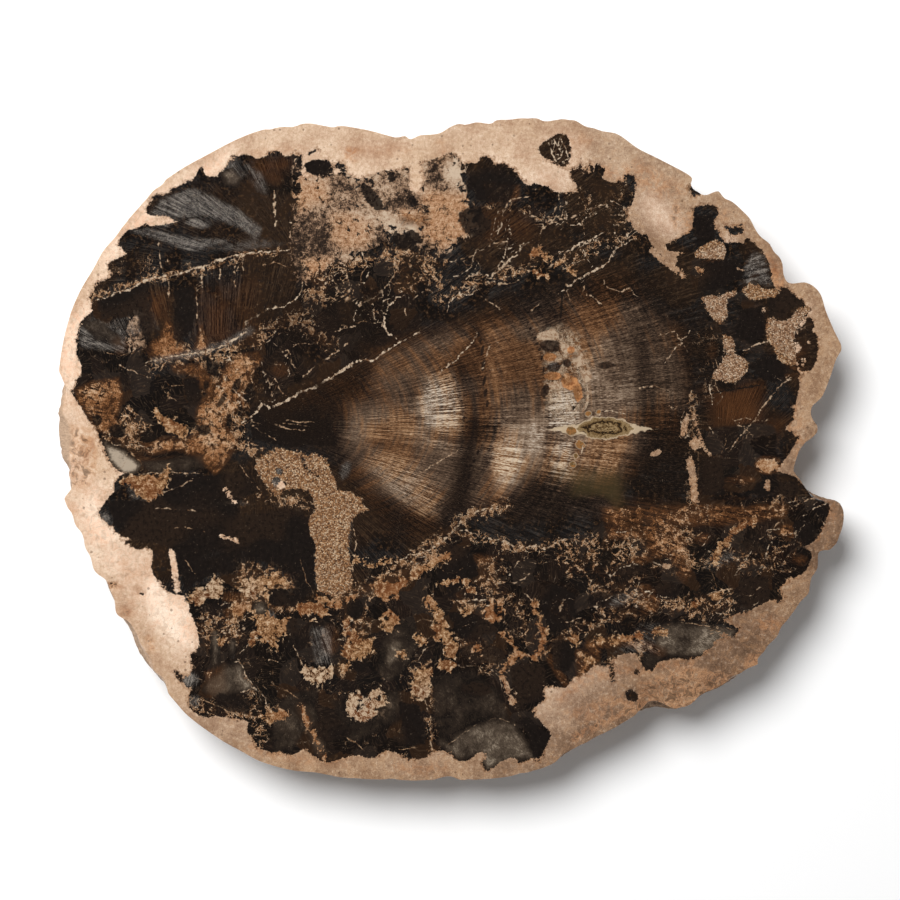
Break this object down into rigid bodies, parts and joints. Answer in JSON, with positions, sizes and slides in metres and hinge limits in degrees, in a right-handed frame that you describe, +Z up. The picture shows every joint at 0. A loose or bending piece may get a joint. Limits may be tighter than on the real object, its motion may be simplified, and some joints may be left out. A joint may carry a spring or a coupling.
{
  "type": "petrified wood slice",
  "caption": "Polished slab of petrified wood with a near-black core, pale rind and rough broken side, sawn flat to lie on a surface.",
  "frame": {"origin": "centre of the bounding box on the sawn underside", "axes": "+Z up out of the polished face, +X along the slab's longest extent, +Y across it"},
  "size_m": [0.36, 0.3022, 0.034],
  "materials": {
    "petrified_wood": "polished"
  },
  "bodies": {
    "root": {"petrified_wood_slice": "petrified_wood"}
  },
  "joints": []
}
